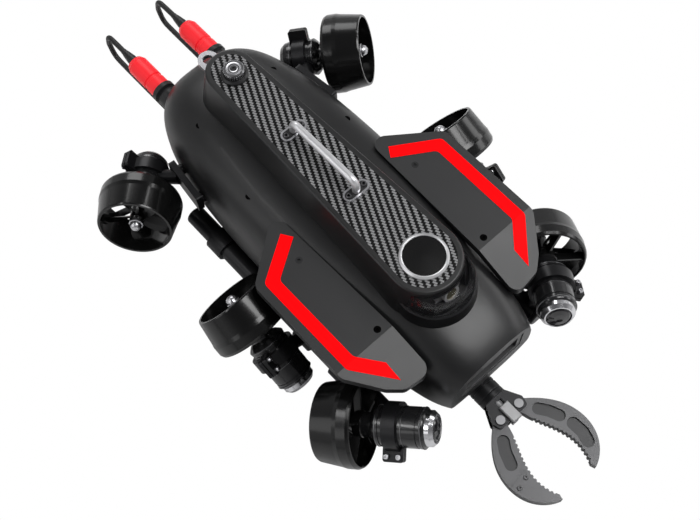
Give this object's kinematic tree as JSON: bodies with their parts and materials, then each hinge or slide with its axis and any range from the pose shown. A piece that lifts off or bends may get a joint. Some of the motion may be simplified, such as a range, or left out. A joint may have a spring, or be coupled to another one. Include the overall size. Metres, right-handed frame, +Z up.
{
  "type": "underwater inspection rov",
  "caption": "Black egg-shaped underwater inspection vehicle with six ducted thrusters, wing panels with red stripes, carry handle and two-jaw gripper.",
  "frame": {"origin": "centre of the belly plate underside, under the middle of the hull", "axes": "+X towards the nose and gripper, +Y to port, +Z up"},
  "size_m": [0.8145, 0.4362, 0.248],
  "materials": {
    "hull_black": "gloss",
    "satin_black": "satin",
    "wing_grey": "satin",
    "carbon": "woven, lacquered",
    "bright_metal": "polished",
    "brushed": "brushed",
    "red_stripe": "satin",
    "red_sleeve": "satin",
    "grey_cast": "anodised",
    "anodised_black": "anodised satin",
    "clear": "clear",
    "lens_dark": "dark glass",
    "cable": "matt",
    "cell_grey": "satin"
  },
  "bodies": {
    "vehicle": {"badge_disc": "satin_black", "badge_ring": "bright_metal", "battery_packs": "cell_grey", "battery_plugs": "red_sleeve", "belly_plate": "satin_black", "camera_lens": "lens_dark", "camera_module": "satin_black", "camera_ring": "satin_black", "camera_window": "clear", "carbon_inlay": "carbon", "carry_handle": "brushed", "clamp_screws": "brushed", "electronics_canister": "cell_grey", "front_clamps": "anodised_black", "front_nozzle_port": "satin_black", "front_nozzle_starboard": "satin_black", "front_pods": "anodised_black", "gripper_arm": "anodised_black", "gripper_fork": "anodised_black", "handle_feet": "brushed", "handle_screws": "brushed", "knob_socket": "satin_black", "lamp_bezels": "bright_metal", "lamp_lenses": "lens_dark", "lead_port": "cable", "lead_starboard": "cable", "lower_shell": "hull_black", "middle_clamps": "anodised_black", "middle_nozzle_port": "satin_black", "middle_nozzle_starboard": "satin_black", "middle_pods": "anodised_black", "nose_frame": "grey_cast", "pivot_pins": "brushed", "plug_sockets": "anodised_black", "rail_brackets": "anodised_black", "rear_bars": "anodised_black", "rear_clamps": "anodised_black", "rear_nozzle_port": "satin_black", "rear_nozzle_starboard": "satin_black", "rear_pods": "anodised_black", "shell_screws": "satin_black", "side_rails": "anodised_black", "spine_ridge": "hull_black", "tow_eye": "brushed", "upper_shell": "hull_black", "wing_port": "wing_grey", "wing_starboard": "wing_grey", "wing_stripes": "red_stripe"},
    "rear_propeller_port_body": {"rear_propeller_port": "satin_black"},
    "rear_propeller_starboard_body": {"rear_propeller_starboard": "satin_black"},
    "middle_propeller_port_body": {"middle_propeller_port": "satin_black"},
    "middle_propeller_starboard_body": {"middle_propeller_starboard": "satin_black"},
    "front_propeller_port_body": {"front_propeller_port": "satin_black"},
    "front_propeller_starboard_body": {"front_propeller_starboard": "satin_black"},
    "jaw_port_body": {"jaw_port": "grey_cast"},
    "jaw_starboard_body": {"jaw_starboard": "grey_cast", "jaw_tip_plate": "grey_cast"},
    "slider_body": {"gripper_slider": "brushed"},
    "knob_body": {"vent_knob": "brushed"}
  },
  "joints": [
    {"name": "rear_spin_port", "type": "hinge", "parent": "vehicle", "child": "rear_propeller_port_body", "pos_m": [-0.19946, 0.17219, 0.10565], "axis": [-0.674, -0.698, -0.2419], "continuous": true},
    {"name": "rear_spin_starboard", "type": "hinge", "parent": "vehicle", "child": "rear_propeller_starboard_body", "pos_m": [-0.19946, -0.17219, 0.10565], "axis": [-0.674, 0.698, -0.2419], "continuous": true},
    {"name": "middle_spin_port", "type": "hinge", "parent": "vehicle", "child": "middle_propeller_port_body", "pos_m": [-0.01603, 0.16321, 0.11898], "axis": [0.8375, -0.0439, -0.5446], "continuous": true},
    {"name": "middle_spin_starboard", "type": "hinge", "parent": "vehicle", "child": "middle_propeller_starboard_body", "pos_m": [-0.01603, -0.16321, 0.11898], "axis": [0.8375, 0.0439, -0.5446], "continuous": true},
    {"name": "front_spin_port", "type": "hinge", "parent": "vehicle", "child": "front_propeller_port_body", "pos_m": [0.15051, 0.16001, 0.08405], "axis": [0.7451, -0.5821, 0.3256], "continuous": true},
    {"name": "front_spin_starboard", "type": "hinge", "parent": "vehicle", "child": "front_propeller_starboard_body", "pos_m": [0.15051, -0.16001, 0.08405], "axis": [0.7451, 0.5821, 0.3256], "continuous": true},
    {"name": "jaw_port_hinge", "type": "hinge", "parent": "vehicle", "child": "jaw_port_body", "pos_m": [0.262, 0.015, 0.028], "axis": [0, 0, 1], "range_deg": [-13, 12]},
    {"name": "jaw_starboard_hinge", "type": "hinge", "parent": "vehicle", "child": "jaw_starboard_body", "pos_m": [0.262, -0.015, 0.028], "axis": [0, 0, 1], "range_deg": [-12, 13]},
    {"name": "pushrod_slide", "type": "slide", "parent": "vehicle", "child": "slider_body", "axis": [1, 0, 0], "range_m": [-0.0058, 0.0054]},
    {"name": "vent_knob_turn", "type": "hinge", "parent": "vehicle", "child": "knob_body", "pos_m": [-0.204, 0, 0.232], "axis": [0, 0, 1], "range_deg": [0, 180]}
  ],
  "couplings": [
    {"joint": "jaw_starboard_hinge", "follows": "jaw_port_hinge", "ratio": -1},
    {"joint": "pushrod_slide", "follows": "jaw_port_hinge", "m_per_rad": 0.024}
  ]
}
